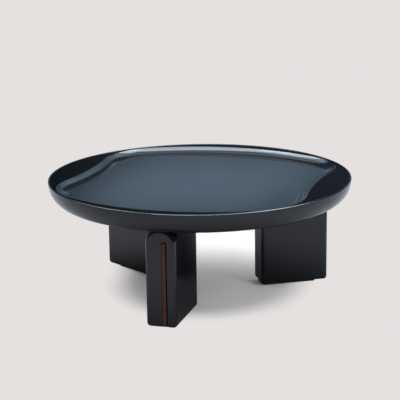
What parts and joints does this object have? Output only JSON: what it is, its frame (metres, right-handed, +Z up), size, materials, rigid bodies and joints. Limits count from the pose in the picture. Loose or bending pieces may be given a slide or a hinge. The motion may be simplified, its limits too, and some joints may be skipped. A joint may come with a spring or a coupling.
{
  "type": "round cocktail table",
  "caption": "Round low cocktail table with a shallow black lacquered dish top, a sunk basin and radial slab legs with a red inlaid strip on their arched outer ends.",
  "frame": {"origin": "on the floor, under the middle of the dish", "axes": "+Z up along the axis of the dish, -Y along the front leg, X across the table"},
  "size_m": [1.0659, 1.066, 0.415],
  "materials": {
    "black_lacquer": "near-black blue-tinted lacquer on wood, satin gloss",
    "panel_black_paint": "matt black paint on plywood",
    "red_inlay": "dark red lacquered strip, satin",
    "frame_timber": "bare planed softwood, hidden inside the dish",
    "beech_dowel": "bare beech",
    "zinc_steel": "bright zinc plate",
    "zinc_screw": "dull zinc plate",
    "brass_insert": "bare brass",
    "pad_rubber": "black rubber"
  },
  "bodies": {
    "root": {"dish_shell": "black_lacquer", "underside_panel": "panel_black_paint", "underside_panel_screws": "zinc_screw", "dish_hub_block": "frame_timber", "tie_rod_washers": "zinc_steel", "tie_rod_nuts": "zinc_steel", "front_leg_slab": "black_lacquer", "front_leg_end_post": "black_lacquer", "front_leg_inlay_strip": "red_inlay", "front_leg_post_dowels": "beech_dowel", "front_leg_tie_rods": "zinc_steel", "front_leg_rod_inserts": "brass_insert", "front_leg_foot_pad": "pad_rubber", "front_leg_foot_pad_screws": "zinc_screw", "front_dish_spoke": "frame_timber", "front_dish_rib": "frame_timber", "right_leg_slab": "black_lacquer", "right_leg_end_post": "black_lacquer", "right_leg_inlay_strip": "red_inlay", "right_leg_post_dowels": "beech_dowel", "right_leg_tie_rods": "zinc_steel", "right_leg_rod_inserts": "brass_insert", "right_leg_foot_pad": "pad_rubber", "right_leg_foot_pad_screws": "zinc_screw", "right_dish_spoke": "frame_timber", "right_dish_rib": "frame_timber", "left_leg_slab": "black_lacquer", "left_leg_end_post": "black_lacquer", "left_leg_inlay_strip": "red_inlay", "left_leg_post_dowels": "beech_dowel", "left_leg_tie_rods": "zinc_steel", "left_leg_rod_inserts": "brass_insert", "left_leg_foot_pad": "pad_rubber", "left_leg_foot_pad_screws": "zinc_screw", "left_dish_spoke": "frame_timber", "left_dish_rib": "frame_timber"}
  },
  "joints": []
}
